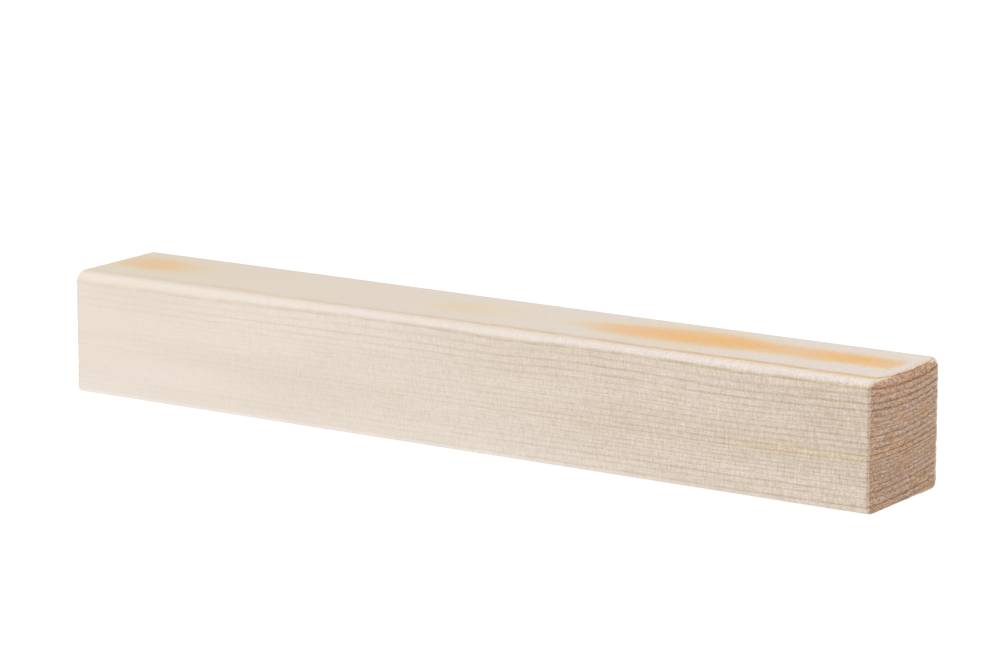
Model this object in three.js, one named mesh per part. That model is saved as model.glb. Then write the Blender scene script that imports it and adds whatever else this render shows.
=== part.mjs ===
// A plain squared bar of planed softwood, as used for the rails of a bee-hive frame.
//
// The bar is one piece of timber. It was planed on its four long sides by a moulding machine,
// which also rounded the four long edges, and it was then cut to length with a saw, so both
// ends are flat. Handling has dulled the edges round the saw cuts by less than a millimetre,
// which this model leaves out. The bar has no joints, holes or fasteners.
//
// Units are millimetres and +Z is up. The origin is the centre of the underside.
// X runs along the grain, from the left end to the right end, and the front faces -Y.

import * as THREE from "three";

// Driving dimensions
const LENGTH = 174; // along the grain, between the two saw cuts
const WIDTH = 25; // front to back
const HEIGHT = 24; // underside to top
const TOP_EDGE_RADIUS = 2; // rounding that the moulder leaves on the two upper long edges
const BOTTOM_EDGE_RADIUS = 1.6; // the lower cutter sits a little further out, so it rounds less
const STEPS_PER_EDGE = 8; // straight steps that stand for each quarter round

const PLANED_SOFTWOOD = new THREE.MeshStandardMaterial({
  name: "planed_softwood",
  color: "#e0d2c0",
  roughness: 0.62,
  metalness: 0,
});

// The section that the moulder cuts, with x to the back and y up, centred over the underside.
function barSection() {
  const back = WIDTH / 2;
  const front = -WIDTH / 2;
  const top = TOP_EDGE_RADIUS;
  const bottom = BOTTOM_EDGE_RADIUS;
  const quarter = Math.PI / 2;

  const section = new THREE.Shape();
  section.moveTo(front + bottom, 0);
  section.lineTo(back - bottom, 0);
  section.absarc(back - bottom, bottom, bottom, -quarter, 0);
  section.lineTo(back, HEIGHT - top);
  section.absarc(back - top, HEIGHT - top, top, 0, quarter);
  section.lineTo(front + top, HEIGHT);
  section.absarc(front + top, HEIGHT - top, top, quarter, 2 * quarter);
  section.lineTo(front, bottom);
  section.absarc(front + bottom, bottom, bottom, 2 * quarter, 3 * quarter);
  return section;
}

// The section run out along X, and cut square at both ends.
function woodenBar() {
  const solid = new THREE.ExtrudeGeometry(barSection(), {
    depth: LENGTH,
    curveSegments: STEPS_PER_EDGE,
    bevelEnabled: false,
  });
  const backward = new THREE.Vector3(0, 1, 0);
  const upward = new THREE.Vector3(0, 0, 1);
  const alongGrain = new THREE.Vector3(1, 0, 0);

  const bar = new THREE.Mesh(solid, PLANED_SOFTWOOD);
  bar.name = "wooden_bar";
  bar.quaternion.setFromRotationMatrix(new THREE.Matrix4().makeBasis(backward, upward, alongGrain));
  bar.position.x = -LENGTH / 2;
  return bar;
}

const hiveBar = new THREE.Group();
hiveBar.add(woodenBar());

export default hiveBar;
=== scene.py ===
"""The looks of a planed softwood bar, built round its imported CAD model.

The bar is one piece of timber with X along the grain. The growth rings are one field through the whole piece.
The pith lies far above the top face, so the rings cross the ends as shallow bowls, run along the front and
back as fine lines, and graze the top face, where one ring's latewood shows as long amber patches.

The field is worked out here for every vertex. It shapes the surface, because planed or sawn latewood stands
proud of earlywood. The material reads the same values, so colour and relief agree on every side.

Lengths are in millimetres until the mesh is made, and depth is measured down from the top face. The floor,
lights and camera are placed in metres.
"""

import math

import bpy
import numpy as np
from mathutils import Matrix, Vector


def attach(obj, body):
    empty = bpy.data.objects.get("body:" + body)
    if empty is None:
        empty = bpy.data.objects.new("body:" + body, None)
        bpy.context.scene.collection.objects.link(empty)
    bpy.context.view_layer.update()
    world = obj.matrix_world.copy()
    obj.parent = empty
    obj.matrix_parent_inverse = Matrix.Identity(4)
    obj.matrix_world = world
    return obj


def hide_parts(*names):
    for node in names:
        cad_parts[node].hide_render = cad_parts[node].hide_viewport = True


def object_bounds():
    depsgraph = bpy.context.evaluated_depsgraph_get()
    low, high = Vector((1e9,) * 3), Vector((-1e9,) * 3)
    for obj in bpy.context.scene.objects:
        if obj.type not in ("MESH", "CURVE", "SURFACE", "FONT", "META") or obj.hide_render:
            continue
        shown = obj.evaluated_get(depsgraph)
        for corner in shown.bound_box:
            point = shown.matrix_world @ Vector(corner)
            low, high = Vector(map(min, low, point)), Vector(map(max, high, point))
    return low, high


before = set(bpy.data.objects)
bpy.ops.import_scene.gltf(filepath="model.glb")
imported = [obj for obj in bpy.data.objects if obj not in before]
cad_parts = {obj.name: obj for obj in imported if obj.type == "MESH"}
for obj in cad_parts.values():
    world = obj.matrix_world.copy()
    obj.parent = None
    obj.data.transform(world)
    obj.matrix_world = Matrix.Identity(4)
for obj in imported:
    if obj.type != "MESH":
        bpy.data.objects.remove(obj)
CAD_LOW, CAD_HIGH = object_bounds()

MM = 0.001
LENGTH, WIDTH, HEIGHT = ((CAD_HIGH - CAD_LOW) / MM)[:]
TOP_RADIUS = 2.0
BOTTOM_RADIUS = 1.6

# The saw cuts
END_RADIUS = 0.9  # how far handling has rounded a cut's top edge
LESSER_EDGE = 0.4  # and its other edges, as a share of that
CUT_SINK = 0.12  # how far the rough cuts lie, on average, inside the CAD ends
LEAST_RIM_WEAR = 0.06  # the least that a cut's rim lies inside the section's outline
RIPPLE = 0.05  # how far the rim wavers
CHIP_DEPTH = 0.20
RIGHT_RIM_BROWN = 0.8  # how brown the rims of the right-hand cut are
LEFT_RIM_BROWN = 0.15  # and the left-hand one
RIDGE_HEIGHT = 0.05  # how proud the latewood stands on a cut
SAW_MARK_HEIGHT = 0.02
SAW_MARK_PITCH = 1.15
FIBRE_HEIGHT = 0.035
TUFT_HEIGHT = 0.05
TEAR_DEPTH = 0.09  # where fibres are torn out along the rim
TEAR_REACH = 0.9  # how far in from the rim they are

# The planed sides
LATEWOOD_HEIGHT = 0.035  # how proud the latewood stands
WAVE_HEIGHT = 0.012  # slow waves left by the planer
ARRIS_WEAR = 0.07  # uneven wear of the rounded long edges
NICK_DEPTH = 0.10

# Cells of the surface grid: across the width, up the height, and the usual step along the grain
CELLS_WIDE = 100
CELLS_HIGH = 96
GRAIN_STEP = 1.25
END_STEPS = (0.3, 0.6, 1.0, 1.6, 2.4, 3.4)  # closer stations behind each saw cut

# The growth rings, from the pith outwards. Each row is a ring's number, the depth at which its latewood line
# meets the front face at the right-hand end, how dark the line is, and how amber. The rows with part numbers
# keep ring 1's line narrow where it runs along the top face.
DARKNESS = 2  # a row's column of darkness
AMBER = 3  # and of amber
RINGS = (
    (-1.00, -6.00, 0.90, 1.00),
    (0.00, -2.10, 0.90, 1.00),
    (0.70, -0.52, 0.85, 1.00),
    (1.00, -0.33, 0.85, 1.00),
    (1.12, -0.23, 0.80, 0.95),
    (2.00, 1.66, 0.88, 0.80),
    (3.00, 2.86, 0.45, 0.20),
    (4.00, 4.15, 0.80, 0.45),
    (5.00, 5.45, 0.70, 0.30),
    (6.00, 6.65, 0.50, 0.15),
    (7.00, 7.56, 0.45, 0.15),
    (8.00, 8.40, 0.40, 0.15),
    (9.00, 8.95, 0.50, 0.15),
    (10.00, 10.06, 0.60, 0.20),
    (11.00, 11.26, 0.55, 0.20),
    (12.00, 12.36, 0.50, 0.25),
    (13.00, 13.40, 0.85, 0.70),
    (14.00, 14.40, 0.85, 0.75),
    (15.00, 15.05, 0.50, 0.30),
    (16.00, 15.70, 0.45, 0.20),
    (17.00, 16.50, 0.50, 0.20),
    (18.00, 17.35, 0.50, 0.20),
    (19.00, 18.00, 0.55, 0.25),
    (20.00, 18.90, 0.55, 0.30),
    (21.00, 20.10, 0.75, 0.50),
    (22.00, 21.10, 0.45, 0.30),
    (23.00, 22.60, 0.72, 0.40),
    (24.00, 23.70, 0.55, 0.30),
    (25.00, 25.00, 0.38, 0.35),
    (26.00, 27.00, 0.38, 0.35),
)

# How far the grain dips below its level at the right-hand end. Each row is a depth and its (x, dip) points.
GRAIN_DIPS = (
    (0.0, ((-87, 0.0), (87, 0.0))),
    (2.0, ((-87, 0.6), (-50, 0.6), (-25, 0.1), (-5, 0.0), (7, 0.35), (14, 0.4), (28, -0.1), (45, -0.1),
           (56, 0.2), (87, 0.0))),
    (4.0, ((-87, 0.9), (-45, 0.9), (-20, 0.5), (0, 0.47), (9, 0.85), (18, 0.33), (25, 0.05), (41, 0.1),
           (50, 0.47), (56, 0.85), (74, 0.47), (87, 0.0))),
    (9.0, ((-87, 0.9), (-40, 0.8), (0, 0.8), (10, 1.0), (25, 0.7), (41, 0.6), (55, 1.0), (65, 1.0), (75, 0.5),
           (87, 0.0))),
    (14.0, ((-87, 0.8), (-40, 0.8), (0, 0.7), (40, 0.6), (55, 0.65), (75, 0.3), (87, 0.0))),
    (20.0, ((-87, 0.5), (0, 0.4), (40, 0.3), (60, 0.4), (75, 0.2), (87, 0.0))),
)

# The amber patches, where one ring's latewood grazes the top face. Each row is a place along the bar, how
# strongly the amber shows there, the y of the patch's middle, and its half width.
AMBER_PATCHES = (
    (-87, 0.36, 1.5, 5.3),
    (-80, 0.66, 1.1, 4.9),
    (-76, 0.72, 1.0, 4.9),
    (-72, 0.54, 0.7, 5.1),
    (-67, 0.26, 0.3, 4.8),
    (-60, 0.02, 0.2, 4.2),
    (-14, 0.02, 0.5, 4.2),
    (-7, 0.42, 0.6, 3.6),
    (-2, 0.26, -0.4, 4.9),
    (4, 0.13, 0.5, 4.9),
    (12, 0.02, 0.6, 3.2),
    (17, 0.18, 0.7, 2.5),
    (21, 0.36, 0.6, 3.2),
    (25, 0.59, 0.3, 3.6),
    (29, 0.80, 0.2, 4.5),
    (34, 0.88, 0.5, 5.3),
    (45, 0.99, 1.2, 5.6),
    (51, 0.99, 1.4, 5.5),
    (56, 0.99, 1.2, 4.3),
    (60, 0.80, 1.2, 3.8),
    (64, 0.65, 0.9, 4.0),
    (68, 0.76, 0.9, 4.2),
    (73, 1.00, 1.1, 4.0),
    (79, 1.00, 1.4, 3.6),
    (83, 0.95, 1.2, 3.6),
    (85, 0.80, 0.8, 4.2),
    (87, 0.48, 0.8, 4.2),
)
AMBER_DEPTH = 0.8  # how far below the top face the amber still shows
STREAK_AT = (-51, -8.8)  # a short, faint streak of amber near the front
STREAK_SIZE = (4.5, 1.0)
STREAK_STRENGTH = 0.30


def lattice_noise(seed, *coordinates):
    """Smooth noise from -1 to 1, with one cell to each unit of its two or three coordinates."""
    table = np.random.default_rng(seed).uniform(-1, 1, 8192)
    primes = (73856093, 19349663, 83492791)
    cells = [np.floor(c).astype(np.int64) for c in coordinates]
    parts = [c - i for c, i in zip(coordinates, cells)]
    parts = [f * f * (3 - 2 * f) for f in parts]
    total = 0.0
    for corner in np.ndindex(*(2,) * len(coordinates)):
        index = np.zeros(np.shape(coordinates[0]), np.int64)
        weight = 1.0
        for step, cell, part, prime in zip(corner, cells, parts, primes):
            index = index ^ ((cell + step) * prime)
            weight = weight * (part if step else 1 - part)
        total = total + table[index % len(table)] * weight
    return total


def soft_step(low, high, value):
    """0 below low, 1 above high, and a smooth rise between them."""
    t = np.clip((value - low) / (high - low), 0, 1)
    return t * t * (3 - 2 * t)


def along(points, x):
    """A curve through given (x, value) points, with its corners rounded off."""
    xs, values = zip(*points)
    offsets = (-4, -2, 0, 2, 4)
    return sum(np.interp(x + o, xs, values) for o in offsets) / len(offsets)


def grain_dip(x, depth):
    """How far the grain at x dips below its level at the right-hand end, at this depth."""
    depths = [row[0] for row in GRAIN_DIPS]
    curves = [along(row[1], x) for row in GRAIN_DIPS]
    dip = curves[0] * 1.0
    for i in range(1, len(depths)):
        share = np.clip((depth - depths[i - 1]) / (depths[i] - depths[i - 1]), 0, 1)
        dip = dip + (curves[i] - curves[i - 1]) * share
    return dip


def front_depth(x, y, z):
    """The depth at which the ring through this point meets the front face at the right-hand end."""
    depth = HEIGHT - z
    low = np.clip(depth / HEIGHT, 0, 1)
    lowest_y = 3 - 10 * low**1.3  # the bottom of a ring's bowl
    front_bow = 90 + 90 * low**2  # the bowl's radius towards the front
    back_bow = 48 + 130 * low**2  # and towards the back
    bow = np.where(y < lowest_y, front_bow, back_bow)
    level = depth - (WIDTH / 2 + lowest_y) ** 2 / (2 * front_bow) + (y - lowest_y) ** 2 / (2 * bow)
    level = level - grain_dip(x, depth)
    level = level + 0.05 * lattice_noise(11, x / 14, y / 5, z / 2.2)
    return level + 0.03 * lattice_noise(12, x / 5, y / 2.5, z / 1.1)


def ring_number(x, y, z):
    """A ring count that is a whole number on every latewood line."""
    return np.interp(front_depth(x, y, z), [row[1] for row in RINGS], [row[0] for row in RINGS])


def of_ring(number, column):
    """A ring's darkness or amber, blended from ring to ring."""
    return np.interp(number, [row[0] for row in RINGS], [row[column] for row in RINGS])


def amber_stain(x, y, z):
    """How strongly the amber of the grazing ring shows at this point."""
    curves = [[(row[0], row[i]) for row in AMBER_PATCHES] for i in (1, 2, 3)]
    strength, middle, half_width = (along(curve, x) for curve in curves)
    reach = np.abs(y - middle) / half_width + 0.07 * lattice_noise(51, x / 9, y / 1.1)
    stain = strength * 0.5 ** (np.clip(reach, 0, None) ** 3)
    streak_x = (x - STREAK_AT[0]) / STREAK_SIZE[0]
    streak_y = (y - STREAK_AT[1]) / STREAK_SIZE[1]
    streak = STREAK_STRENGTH * np.exp(-(streak_x**2) - streak_y**2)
    depth = HEIGHT - z
    clear_of_ends = soft_step(0.3, 2.4, LENGTH / 2 - np.abs(x))
    return (stain + streak) * np.exp(-((depth / AMBER_DEPTH) ** 2)) * clear_of_ends


def latewood(number):
    """How much of the wood here is latewood, from 0 to 1: a slow rise, and a sharp end at the winter."""
    phase = number - np.floor(number + 0.5)
    return soft_step(-0.38, -0.06, phase) * (1 - soft_step(0.03, 0.11, phase))


def section_sides():
    """The four sides of the section as (y, z) rows, each from the middle of one rounded corner to the middle
    of the next: bottom and top from front to back, front and back from bottom to top."""

    def arc(y, z, radius, start, end):
        angles = np.radians(np.linspace(start, end, 40))
        return np.stack([y + radius * np.cos(angles), z + radius * np.sin(angles)], 1)

    front = -WIDTH / 2
    back = WIDTH / 2
    t = TOP_RADIUS
    b = BOTTOM_RADIUS
    low_front = (front + b, b, b)
    low_back = (back - b, b, b)
    high_front = (front + t, HEIGHT - t, t)
    high_back = (back - t, HEIGHT - t, t)
    outlines = (
        (arc(*low_front, 225, 270), arc(*low_back, 270, 315), CELLS_WIDE),
        (arc(*high_front, 135, 90), arc(*high_back, 90, 45), CELLS_WIDE),
        (arc(*low_front, 225, 180), arc(*high_front, 180, 135), CELLS_HIGH),
        (arc(*low_back, -45, 0), arc(*high_back, 0, 45), CELLS_HIGH),
    )
    sides = []
    for first, last, cells in outlines:
        line = np.concatenate([first, last])
        run = np.concatenate([[0], np.cumsum(np.linalg.norm(np.diff(line, axis=0), axis=1))])
        keep = np.concatenate([[True], np.diff(run) > 1e-9])
        at = np.linspace(0, run[-1], cells + 1)
        sides.append(np.stack([np.interp(at, run[keep], line[keep, i]) for i in (0, 1)], 1))
    return sides


def filled(bottom, top, front, back):
    """A grid of points between four sides, evenly spread from side to side."""
    u = np.linspace(0, 1, CELLS_WIDE + 1)[None, :, None]
    v = np.linspace(0, 1, CELLS_HIGH + 1)[:, None, None]
    across = (1 - v) * bottom[None] + v * top[None]
    up = (1 - u) * front[:, None] + u * back[:, None]
    corners = (
        (1 - u) * (1 - v) * bottom[0]
        + u * (1 - v) * bottom[-1]
        + (1 - u) * v * top[0]
        + u * v * top[-1]
    )
    return across + up - corners


def gap_to_outline(y, z):
    """How far a point of the section lies inside its rounded outline."""
    reach_y = WIDTH / 2 - np.abs(y)
    reach_z = np.minimum(z, HEIGHT - z)
    radius = np.where(z > HEIGHT / 2, TOP_RADIUS, BOTTOM_RADIUS)
    corner = radius - np.hypot(np.clip(radius - reach_y, 0, None), np.clip(radius - reach_z, 0, None))
    return np.minimum(np.minimum(reach_y, reach_z), corner)


def rounded_drop(gap, radius):
    """How far a rounded edge lies below its flat face, at this gap from where the sharp edge would be."""
    share = np.clip(1 - gap / radius, 0, 1)
    return radius * (1 - np.sqrt(1 - share**2))


def border_indices():
    """The rows and columns of the section grid's border: along the bottom, up the back, and home."""
    rows = CELLS_HIGH
    columns = CELLS_WIDE
    loop = [(0, j) for j in range(columns)]
    loop += [(i, columns) for i in range(rows)]
    loop += [(rows, j) for j in range(columns, 0, -1)]
    loop += [(i, 0) for i in range(rows, 0, -1)]
    return tuple(np.array(loop).T)


def outward(outline):
    """The outward normal at each point of a closed outline that runs anticlockwise seen from +X."""
    run = np.roll(outline, -1, axis=0) - np.roll(outline, 1, axis=0)
    normal = np.stack([run[:, 1], -run[:, 0]], 1)
    return normal / np.linalg.norm(normal, axis=1, keepdims=True)


class Outline:
    """The section's outline, once round, how each of its points is finished, and how much painted highlight
    its saw-cut rim gets.
    """

    def __init__(self, grid):
        self.border = border_indices()
        self.points = grid[self.border]
        self.normal = outward(self.points)
        facing_up = np.clip(self.normal[:, 1], 0, 1)
        self.roundness = 4 * (self.normal[:, 0] * self.normal[:, 1]) ** 2
        self.end_radius = END_RADIUS * (LESSER_EDGE + (1 - LESSER_EDGE) * facing_up)
        # A painted highlight, with some gloss, along the rims of the saw cuts, stronger where they face up.
        self.end_gloss_and_highlight = 0.15 + 0.25 * facing_up
        # Rims that face up are less brown.
        self.end_brownness = 1 - 0.7 * facing_up

    def sunk(self, depth):
        """The outline's points, moved inwards by each one's depth."""
        return self.points - self.normal * depth[:, None]

    def rim_brown(self, x):
        """How brown the edge of the saw cut on this side of the middle is."""
        return (RIGHT_RIM_BROWN if x > 0 else LEFT_RIM_BROWN) * self.end_brownness


def stations():
    """Where the side surface has a row of points, from end to end, without the saw cuts themselves."""
    half = LENGTH / 2
    inner = half - END_STEPS[-1]
    middle = np.linspace(-inner, inner, int(round(2 * inner / GRAIN_STEP)) + 1)
    ends = half - np.array(END_STEPS[:-1])
    return np.concatenate([-ends, middle, ends[::-1]])


def side_sink(x, y, z, roundness):
    """How far the planed surface lies inside the CAD outline."""
    number = ring_number(x, y, z)
    proud = np.maximum(latewood(number) * of_ring(number, DARKNESS), amber_stain(x, y, z))
    relief = LATEWOOD_HEIGHT * (1 - proud)
    waves = WAVE_HEIGHT * (1 + lattice_noise(21, x / 22, y / 6, z / 6))
    arris = ARRIS_WEAR * roundness * (1 + lattice_noise(22, x / 9, y / 4, z / 4))
    nicks = NICK_DEPTH * roundness * np.clip(lattice_noise(23, x / 2.6, y / 3, z / 3) - 0.62, 0, 1)
    return relief + waves + arris + nicks


def side_station(x, outline):
    """The side surface's points at one station, how far each is end grain, and its share of gloss and painted
    highlight on a rounded edge.
    """
    y, z = outline.points.T
    place = np.full(len(y), x)
    gap = LENGTH / 2 - abs(x)
    sink = side_sink(place, y, z, outline.roundness) + rounded_drop(gap, outline.end_radius)
    points = np.column_stack([place, outline.sunk(sink)])
    end_grain = outline.rim_brown(x) * np.clip((0.6 - gap) / 0.45, 0, 1)
    # A painted highlight along the top rounded edges, narrowed to their middle.
    top_share = outline.roundness**2
    # A painted reflection of the pale floor along the bottom rounded edges, stronger towards the left-hand
    # end.
    bottom_share = (0.9 - 0.5 * soft_step(-30, 70, x)) * outline.roundness
    # A painted highlight where the sides round over into the saw cuts.
    end_share = outline.end_gloss_and_highlight * np.clip(1 - gap / (1.2 * outline.end_radius), 0, 1)
    edge_gloss_and_highlight = np.maximum(np.where(z > HEIGHT / 2, top_share, bottom_share), end_share)
    return points, end_grain, edge_gloss_and_highlight


def end_sink(y, z, side):
    """How far the sawn surface lies inside the CAD end on this side."""
    number = ring_number(np.full_like(y, side * LENGTH / 2), y, z)
    ridges = RIDGE_HEIGHT * (1 - latewood(number) * of_ring(number, DARKNESS))
    swing = z + 0.12 * y + 0.25 * lattice_noise(31, y / 6, z / 6)
    saw_marks = SAW_MARK_HEIGHT * (1 + np.sin(2 * math.pi * swing / SAW_MARK_PITCH))
    fibres = FIBRE_HEIGHT * (1 + lattice_noise(32 + side, y / 0.55, z / 0.28))
    tufts = TUFT_HEIGHT * (1 + lattice_noise(34 + side, y / 1.3, z / 0.5))
    torn = TEAR_DEPTH * np.clip(lattice_noise(36 + side, y / 0.7, z / 0.45) - 0.1, 0, 1)
    torn = torn * (1 - soft_step(0, TEAR_REACH, gap_to_outline(y, z)))
    return ridges + saw_marks + fibres + tufts + torn


def rim_wear(side, outline):
    """How far the rim of a saw cut lies inside the section's outline."""
    steps = np.arange(len(outline.points))
    still = np.zeros(len(steps))
    ripple = RIPPLE * lattice_noise(41 + side, steps / 3.0, still)
    chips = CHIP_DEPTH * np.clip(lattice_noise(43 + side, steps / 7.0, still + 1) - 0.5, 0, 1)
    wear = rounded_drop(CUT_SINK, outline.end_radius) + (ripple + chips) * (1 - outline.roundness)
    return np.maximum(wear, LEAST_RIM_WEAR)


def saw_cut(side, grid, outline):
    """The points of one end, row by row, how far each is end grain, and its share of gloss and painted
    highlight on the rim.
    """
    y, z = grid[..., 0], grid[..., 1]
    x = side * (LENGTH / 2 - end_sink(y, z, side))
    worn = grid.copy()
    worn[outline.border] = outline.sunk(rim_wear(side, outline))
    worn = filled(worn[0], worn[-1], worn[:, 0], worn[:, -1])
    points = np.column_stack([x.ravel(), worn.reshape(-1, 2)])

    # The brown of the cut fades at its rim in a ragged fringe, three times narrower along the bottom.
    nearer_bottom = z < WIDTH / 2 - np.abs(y)
    fringe_gap = gap_to_outline(y, z) * np.where(nearer_bottom, 3, 1)
    ragged = 0.2 * lattice_noise(45 + side, y / 0.8, z / 0.5)
    end_grain = soft_step(0, 0.75, fringe_gap + ragged)
    end_grain[outline.border] = outline.rim_brown(side)
    edge_gloss_and_highlight = np.zeros(y.shape)
    # The rim of the cut carries the same painted highlight and gloss.
    edge_gloss_and_highlight[outline.border] = outline.end_gloss_and_highlight
    return points, end_grain.ravel(), edge_gloss_and_highlight.ravel()


def bridge(lower, upper):
    """Quads between two loops of point numbers, facing out where upper is further along +X."""
    return np.stack([lower, np.roll(lower, -1), np.roll(upper, -1), upper], 1)


def grid_quads(index, side):
    """Quads over a grid of point numbers, facing +X on side 1 and -X on side -1."""
    corners = (index[:-1, :-1], index[:-1, 1:], index[1:, 1:], index[1:, :-1])
    order = (0, 1, 2, 3) if side > 0 else (0, 3, 2, 1)
    return np.stack([corners[i].ravel() for i in order], 1)


def bar_surface():
    """The bar's points, its faces, how far each point is end grain, and its share of gloss and painted
    highlight on a rounded edge.
    """
    grid = filled(*section_sides())
    outline = Outline(grid)
    parts = [side_station(x, outline) for x in stations()]
    rows = np.arange(len(parts) * len(outline.points)).reshape(len(parts), -1)
    quads = [bridge(lower, upper) for lower, upper in zip(rows[:-1], rows[1:])]
    for side, last_row in ((1, rows[-1]), (-1, rows[0])):
        start = sum(len(points) for points, _, _ in parts)
        index = start + np.arange(grid[..., 0].size).reshape(grid.shape[:2])
        rim = index[outline.border]
        parts.append(saw_cut(side, grid, outline))
        quads.append(grid_quads(index, side))
        quads.append(bridge(last_row, rim) if side > 0 else bridge(rim, last_row))
    points, end_grain, edge_gloss_and_highlight = (np.concatenate(part) for part in zip(*parts))
    return points, np.concatenate(quads), {"end_grain": end_grain, "edge_gloss_and_highlight": edge_gloss_and_highlight}


def make_bar():
    """The bar's mesh, with the ring field kept on its points for the material."""
    points, quads, fields = bar_surface()
    number = ring_number(*points.T)
    fields["ring_number"] = number
    fields["ring_dark"] = of_ring(number, DARKNESS)
    fields["ring_amber"] = of_ring(number, AMBER)
    fields["amber_stain"] = amber_stain(*points.T)
    mesh = bpy.data.meshes.new("bar")
    mesh.from_pydata((points * MM).tolist(), [], quads.tolist())
    for name, values in fields.items():
        mesh.attributes.new(name, "FLOAT", "POINT").data.foreach_set("value", values.astype(np.float32))
    mesh.shade_smooth()
    mesh.set_sharp_from_angle(angle=math.radians(38))
    bar = bpy.data.objects.new("bar_timber", mesh)
    bpy.context.scene.collection.objects.link(bar)
    return bar


class Nodes:
    """Short calls for building a material."""

    def __init__(self, name):
        self.material = bpy.data.materials.new(name)
        self.material.use_nodes = True
        self.tree = self.material.node_tree
        self.shader = self.tree.nodes["Principled BSDF"]

    def put(self, value, socket):
        """Sets a socket to a number or colour, or links it to an output."""
        if isinstance(value, bpy.types.NodeSocket):
            self.tree.links.new(value, socket)
        else:
            socket.default_value = value

    def attribute(self, name):
        node = self.tree.nodes.new("ShaderNodeAttribute")
        node.attribute_name = name
        return node.outputs["Fac"]

    def math(self, operation, *values, clamp=False):
        node = self.tree.nodes.new("ShaderNodeMath")
        node.operation = operation
        node.use_clamp = clamp
        for value, socket in zip(values, node.inputs):
            self.put(value, socket)
        return node.outputs[0]

    def stretch(self, value, low, high, to_low=0.0, to_high=1.0):
        node = self.tree.nodes.new("ShaderNodeMapRange")
        node.interpolation_type = "SMOOTHSTEP"
        for number, socket in zip((value, low, high, to_low, to_high), node.inputs):
            self.put(number, socket)
        return node.outputs[0]

    def mix(self, share, first, second, blend="MIX"):
        node = self.tree.nodes.new("ShaderNodeMix")
        node.data_type = "RGBA"
        node.blend_type = blend
        self.put(share, node.inputs[0])
        self.put(first, node.inputs[6])
        self.put(second, node.inputs[7])
        return node.outputs[2]

    def product(self, *values):
        total = values[0]
        for value in values[1:]:
            total = self.math("MULTIPLY", total, value)
        return total

    def place(self):
        """A point's place in the bar's own frame, in metres."""
        return self.tree.nodes.new("ShaderNodeTexCoord").outputs["Object"]

    def split(self, vector):
        """A vector's three outputs."""
        node = self.tree.nodes.new("ShaderNodeSeparateXYZ")
        self.put(vector, node.inputs[0])
        return node.outputs

    def noise_at(self, vector, detail):
        """Noise with one cell to each unit of a vector."""
        node = self.tree.nodes.new("ShaderNodeTexNoise")
        self.put(vector, node.inputs["Vector"])
        node.inputs["Scale"].default_value = 1.0
        node.inputs["Detail"].default_value = detail
        return node.outputs["Fac"]

    def noise(self, cell_mm, detail=2.0, shift=0.0):
        """Noise whose cells measure cell_mm along X, Y and Z."""
        mapping = self.tree.nodes.new("ShaderNodeMapping")
        self.put(self.place(), mapping.inputs["Vector"])
        mapping.inputs["Scale"].default_value = [1 / (c * MM) for c in cell_mm]
        mapping.inputs["Location"].default_value = (shift, shift * 1.7, shift * 2.3)
        return self.noise_at(mapping.outputs[0], detail)

    def noise_on_rings(self, per_ring, cell_mm, detail):
        """Noise that lies along the rings: per_ring cells to each ring, each cell_mm long across the bar."""
        parts = self.split(self.place())
        vector = self.tree.nodes.new("ShaderNodeCombineXYZ")
        self.put(self.product(self.attribute("ring_number"), per_ring), vector.inputs["X"])
        self.put(self.math("DIVIDE", parts["Y"], cell_mm * MM), vector.inputs["Y"])
        self.put(self.math("DIVIDE", parts["X"], 5 * MM), vector.inputs["Z"])
        return self.noise_at(vector.outputs[0], detail)

    def toned(self, colour, layers, strength, shades):
        """A colour that layers of (noise, weight) push towards a darker and a lighter shade."""
        total = 0.5
        for layer, weight in layers:
            push = self.product(self.math("SUBTRACT", layer, 0.5), weight, strength)
            total = self.math("ADD", push, total)
        return self.mix(1.0, colour, self.mix(total, shades[0], shades[1]), "MULTIPLY")

    def bump(self, height, distance):
        node = self.tree.nodes.new("ShaderNodeBump")
        node.inputs["Strength"].default_value = 1.0
        node.inputs["Distance"].default_value = distance
        self.put(height, node.inputs["Height"])
        return node.outputs["Normal"]


# Colours, as linear light. The planed sides go from pale at the left-hand end to warmer and darker at the
# right: the warmth is the wood's, the darkening painted shade.
PALE_SIDE = (0.735, 0.647, 0.565, 1)
# Warmer wood with painted shade, for the right-hand end of the sides.
WARM_SHADED_SIDE = (0.618, 0.512, 0.410, 1)
TOP_SIDE = (0.774, 0.671, 0.556, 1)
TOP_RIGHT_SIDE = (0.788, 0.702, 0.628, 1)
# A paler, greyer tone for the lower rings: painted light bounced up from the floor.
FLOOR_BOUNCE_SIDE = (0.800, 0.760, 0.720, 1)
LATE_SIDE = (0.420, 0.315, 0.200, 1)
HONEY_SIDE = (0.510, 0.385, 0.200, 1)
HONEY_TINT = (0.640, 0.510, 0.330, 1)
AMBER_SIDE = (0.870, 0.490, 0.165, 1)
GOLD_SIDE = (0.820, 0.610, 0.225, 1)
RUST_SIDE = (0.680, 0.400, 0.110, 1)
WARM_END = (0.455, 0.280, 0.168, 1)
GREY_END = (0.452, 0.312, 0.225, 1)
ORANGE_END = (0.560, 0.320, 0.175, 1)
LATE_END = (0.240, 0.130, 0.068, 1)
AMBER_END = (0.350, 0.143, 0.050, 1)
# A painted highlight on the tips of torn end-grain fibres.
FIBRE_HIGHLIGHT = (0.700, 0.540, 0.410, 1)
# A painted highlight: a pale white laid on the rounded edges where they would catch the light.
PAINTED_HIGHLIGHT = (0.860, 0.840, 0.860, 1)
SIDE_SHADES = ((0.50, 0.42, 0.31, 1), (1.50, 1.58, 1.69, 1))
END_SHADES = ((0.50, 0.49, 0.47, 1), (1.50, 1.51, 1.53, 1))


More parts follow.
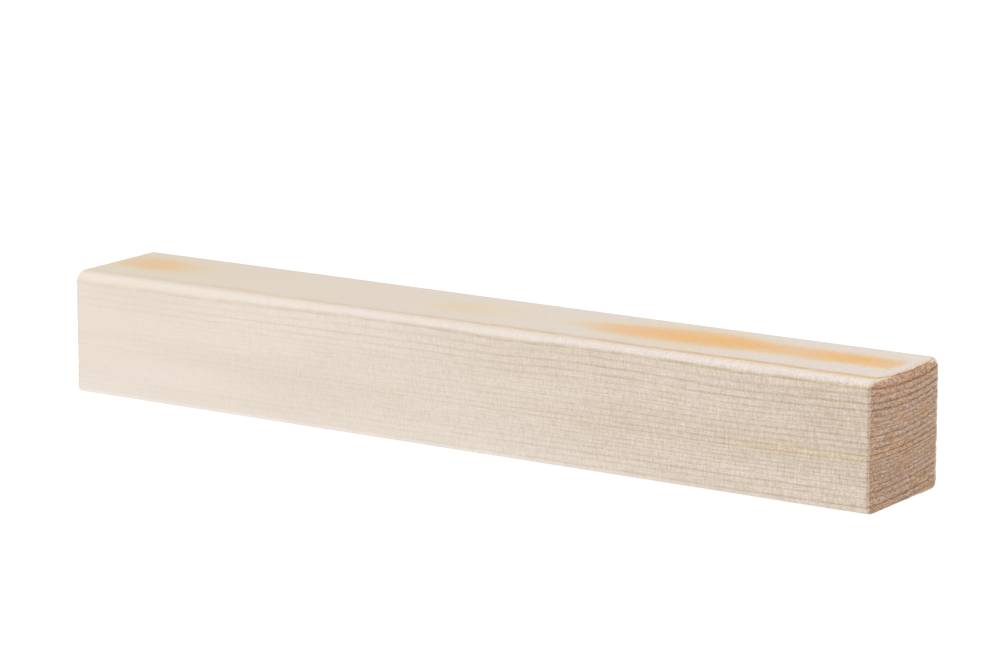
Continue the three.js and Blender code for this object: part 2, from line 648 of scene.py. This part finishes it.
def latewood_line(n):
    """How dark the latewood line is here: a slow rise to each winter, and a sharp end after it."""
    wobble = n.product(n.math("SUBTRACT", n.noise((9, 1.2, 0.7)), 0.5), 0.22)
    number = n.math("ADD", n.attribute("ring_number"), wobble)
    phase = n.math("SUBTRACT", n.math("FRACT", n.math("ADD", number, 0.5)), 0.5)
    late = n.product(n.stretch(phase, -0.36, -0.06), n.stretch(phase, 0.03, 0.12, 1, 0))
    return n.product(late, n.attribute("ring_dark"))


def line_share(n, late, rightward, clarity):
    """How much of the latewood's colour shows on a planed side. It fades to the left and breaks up."""
    number = n.attribute("ring_number")
    broken = n.stretch(n.noise((4.5, 1.0, 0.6), detail=3, shift=5.3), 0.30, 0.62, 0.45, 1.0)
    second_ring = n.product(n.stretch(number, 1.3, 1.7), n.stretch(number, 2.2, 2.8, 0.10, 0.0))
    lower_rings = n.stretch(number, 5, 9, 1.0, n.stretch(rightward, 0.2, 0.8, 0.6, 1.0))
    return n.product(late, broken, n.math("ADD", clarity, second_ring), lower_rings)


def planed_latewood(n, rightward, honey):
    """The latewood's colour on a planed side, with honey in amber rings and rust in the most amber."""
    amber = n.attribute("ring_amber")
    colour = n.mix(n.product(n.stretch(amber, 0.25, 0.65), honey), LATE_SIDE, HONEY_SIDE)
    return n.mix(n.stretch(amber, 0.84, 1.0), colour, n.mix(rightward, LATE_SIDE, RUST_SIDE))


def planed_earlywood(n, rightward, honey):
    """The earlywood's colour on a planed side, with a lighter top face and a warm halo round ring 1 there."""
    number = n.attribute("ring_number")
    cloud = n.noise((45, 9, 7), detail=2, shift=3.1)
    # Towards the right-hand end the sides turn warmer, with painted shade darkening them, and vary at random
    # in cloudy patches.
    warmth_and_shade = n.math("ADD", rightward, n.stretch(cloud, 0.3, 0.7, -0.15, 0.15), clamp=True)
    colour = n.mix(warmth_and_shade, PALE_SIDE, WARM_SHADED_SIDE)
    # The lower rings, towards the bottom of the bar, are painted a little paler and greyer: painted light
    # from the floor.
    colour = n.mix(n.stretch(number, 13, 22, 0, 0.12), colour, FLOOR_BOUNCE_SIDE)
    tint = n.product(n.stretch(n.attribute("ring_amber"), 0.30, 0.80, 0.0, 0.32), honey)
    top = n.mix(rightward, TOP_SIDE, TOP_RIGHT_SIDE)
    colour = n.mix(n.stretch(number, 1.2, 2.4), top, n.mix(tint, colour, HONEY_TINT))
    halo = n.product(n.stretch(number, 0.55, 0.95), n.stretch(number, 1.05, 1.40, 1.0, 0.0))
    halo = n.product(halo, n.stretch(rightward, 0.1, 0.9, 0.08, 0.28))
    return n.mix(halo, colour, AMBER_SIDE)


def with_amber_patches(n, colour):
    """A colour under the amber patches of the grazing ring, which are streaked along the grain."""
    stain = n.attribute("amber_stain")
    streak = n.stretch(n.noise((14, 0.9, 0.9), detail=3, shift=4.4), 0.3, 0.7, 0.88, 1.06)
    amber = n.mix(n.stretch(stain, 0.15, 0.65), GOLD_SIDE, AMBER_SIDE)
    return n.mix(n.math("MULTIPLY", stain, streak, clamp=True), colour, amber)


def planed_colour(n, late, fibre):
    """The planed sides: rings under fibres, fine fuzz, faint marks of the planer knives and a painted
    highlight on the rounded edges.
    """
    place_along = n.math("ADD", n.math("DIVIDE", n.split(n.place())["X"], LENGTH * MM), 0.5, clamp=True)
    rightward = n.math("POWER", place_along, 1.5)
    clarity = n.math("ADD", n.product(rightward, 0.82), 0.11)
    honey = n.stretch(n.noise((16, 3.0, 2.5), detail=2, shift=8.2), 0.35, 0.65, 0.25, 1.0)
    honey = n.product(honey, n.stretch(rightward, 0.35, 1.0, 0.1, 1.0))
    late_share = line_share(n, late, rightward, clarity)
    early_colour = planed_earlywood(n, rightward, honey)
    colour = n.mix(late_share, early_colour, planed_latewood(n, rightward, honey))
    colour = with_amber_patches(n, colour)
    fuzz = n.noise((0.42, 0.34, 0.26), detail=2, shift=9.1)
    knives = n.noise((0.45, 2.2, 1.7), detail=1, shift=6.4)
    strength = n.product(clarity, n.stretch(n.attribute("ring_number"), 0.5, 2.4, 0.45, 1.0))
    colour = n.toned(colour, ((fibre, 0.48), (fuzz, 0.70), (knives, 0.42)), strength, SIDE_SHADES)
    # The rounded edges are painted towards the pale highlight, a little less towards the right-hand end.
    gloss_and_highlight = n.product(n.attribute("edge_gloss_and_highlight"), n.stretch(rightward, 0.2, 1.0, 0.27, 0.17))
    return n.mix(gloss_and_highlight, colour, PAINTED_HIGHLIGHT)


def sawn_colour(n, late, speck):
    """The sawn ends: the same rings, browner, under torn fibres that lie along them, with painted highlights
    on their tips.
    """
    number = n.attribute("ring_number")
    amber = n.attribute("ring_amber")
    dash = n.noise_on_rings(5.5, 1.3, detail=3)
    thread = n.noise_on_rings(10.0, 0.6, detail=2)
    patch = n.noise((6, 7.0, 2.0), detail=2, shift=1.4)
    early_colour = n.mix(n.stretch(patch, 0.35, 0.65), WARM_END, GREY_END)
    early_colour = n.mix(n.stretch(amber, 0.75, 1.0, 0.0, 0.6), early_colour, ORANGE_END)
    early_colour = n.mix(n.stretch(number, 12, 19, 0.0, 0.09), early_colour, LATE_END)
    late_colour = n.mix(n.stretch(amber, 0.3, 1.0), LATE_END, AMBER_END)
    late_share = n.math("MULTIPLY", n.product(late, 1.6), n.stretch(dash, 0.3, 0.6, 1.0, 0.7), clamp=True)
    colour = n.mix(late_share, early_colour, late_colour)
    colour = n.toned(colour, ((dash, 1.1), (thread, 1.85), (speck, 2.0)), 1.0, END_SHADES)
    # Specks of the torn fibres are painted paler: a painted highlight standing in for the light they catch.
    return n.mix(n.product(n.stretch(speck, 0.58, 0.72), 0.45), colour, FIBRE_HIGHLIGHT)


def softwood():
    """Planed and sawn softwood, coloured by the ring field on the mesh."""
    n = Nodes("softwood")
    end = n.attribute("end_grain")
    late = latewood_line(n)
    fibre = n.noise((4, 0.20, 0.20), detail=3)
    speck = n.noise((0.5, 0.42, 0.17), detail=2, shift=7.7)
    colour = n.mix(end, planed_colour(n, late, fibre), sawn_colour(n, late, speck))
    n.put(colour, n.shader.inputs["Base Color"])
    gloss_and_highlight = n.product(n.attribute("edge_gloss_and_highlight"), 0.12)
    roughness = n.math("SUBTRACT", n.stretch(fibre, 0.2, 0.8, 0.50, 0.66), gloss_and_highlight)
    n.put(n.math("ADD", roughness, n.product(end, 0.15)), n.shader.inputs["Roughness"])
    height = n.math("ADD", n.product(fibre, 0.02), n.product(speck, end, 0.10))
    n.put(n.bump(height, MM), n.shader.inputs["Normal"])
    return n.material


def make_floor():
    """A plain pale light table, wide enough to reach the edges of any view."""
    radius = 4
    glow = 0.77
    mesh = bpy.data.meshes.new("floor")
    angles = np.radians(np.arange(0, 360, 5))
    rim = [(radius * math.cos(a), radius * math.sin(a), 0) for a in angles]
    mesh.from_pydata(rim, [], [list(range(len(rim)))])
    floor = bpy.data.objects.new("floor", mesh)
    bpy.context.scene.collection.objects.link(floor)
    n = Nodes("floor")
    n.shader.inputs["Base Color"].default_value = (0.35, 0.35, 0.35, 1)
    n.shader.inputs["Roughness"].default_value = 0.9
    n.shader.inputs["Specular IOR Level"].default_value = 0.0
    n.shader.inputs["Emission Color"].default_value = (1, 1, 1, 1)
    n.shader.inputs["Emission Strength"].default_value = glow
    mesh.materials.append(n.material)


def add_softbox(name, place, size, watts):
    """A square softbox at place, turned to the bar."""
    light = bpy.data.lights.new(name, "AREA")
    light.shape = "SQUARE"
    light.size = size
    light.energy = watts
    softbox = bpy.data.objects.new(name, light)
    softbox.location = place
    softbox.rotation_mode = "QUATERNION"
    softbox.rotation_quaternion = (Vector((0, 0, HEIGHT * MM / 2)) - Vector(place)).to_track_quat("-Z", "Y")
    softbox.visible_camera = False
    bpy.context.scene.collection.objects.link(softbox)


def make_lights():
    """A white room, brightest at the horizon, with a softbox high on the right and a low one at the left."""
    zenith_strength = 0.655
    fade_height = 0.45  # the sine of the angle up at which that brightness has faded
    world = bpy.data.worlds.new("studio")
    world.use_nodes = True
    tree = world.node_tree
    direction = tree.nodes.new("ShaderNodeTexCoord")
    parts = tree.nodes.new("ShaderNodeSeparateXYZ")
    fade = tree.nodes.new("ShaderNodeMapRange")
    fade.interpolation_type = "SMOOTHSTEP"
    fade.inputs["From Max"].default_value = fade_height
    fade.inputs["To Min"].default_value = 1.0
    fade.inputs["To Max"].default_value = zenith_strength
    tree.links.new(direction.outputs["Generated"], parts.inputs[0])
    tree.links.new(parts.outputs["Z"], fade.inputs["Value"])
    background = tree.nodes["Background"]
    background.inputs["Color"].default_value = (1, 1, 1, 1)
    tree.links.new(fade.outputs[0], background.inputs["Strength"])
    bpy.context.scene.world = world
    add_softbox("overhead", (0.35, -0.15, 0.85), 0.45, 2.6)
    add_softbox("fill", (-0.45, -0.35, 0.16), 0.30, 0.65)


def make_camera():
    """A long lens from the front and right, a little above the bar."""
    azimuth = math.radians(33.65)
    elevation = math.radians(12.10)
    distance = 0.8299
    left = 0.00216  # how far the bar's centre stands left of the picture's centre, and below it
    below = 0.00754
    right = Vector((math.cos(azimuth), math.sin(azimuth), 0))
    level = Vector((math.sin(azimuth), -math.cos(azimuth), 0))
    back = level * math.cos(elevation) + Vector((0, 0, math.sin(elevation)))
    up = back.cross(right)
    data = bpy.data.cameras.new("camera")
    data.lens = 162.0
    data.sensor_width = 36.0
    data.clip_start = 0.01
    data.clip_end = 50
    camera = bpy.data.objects.new("camera", data)
    centre = Vector((0, 0, HEIGHT * MM / 2))
    place = centre + back * distance + right * left + up * below
    camera.matrix_world = Matrix.Translation(place) @ Matrix((right, up, back)).transposed().to_4x4()
    bpy.context.scene.collection.objects.link(camera)
    bpy.context.scene.camera = camera


make_camera()
make_floor()
make_lights()
bpy.context.scene.view_settings.view_transform = "Standard"

timber = make_bar()
timber.data.materials.append(softwood())
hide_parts("wooden_bar")
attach(timber, "root")
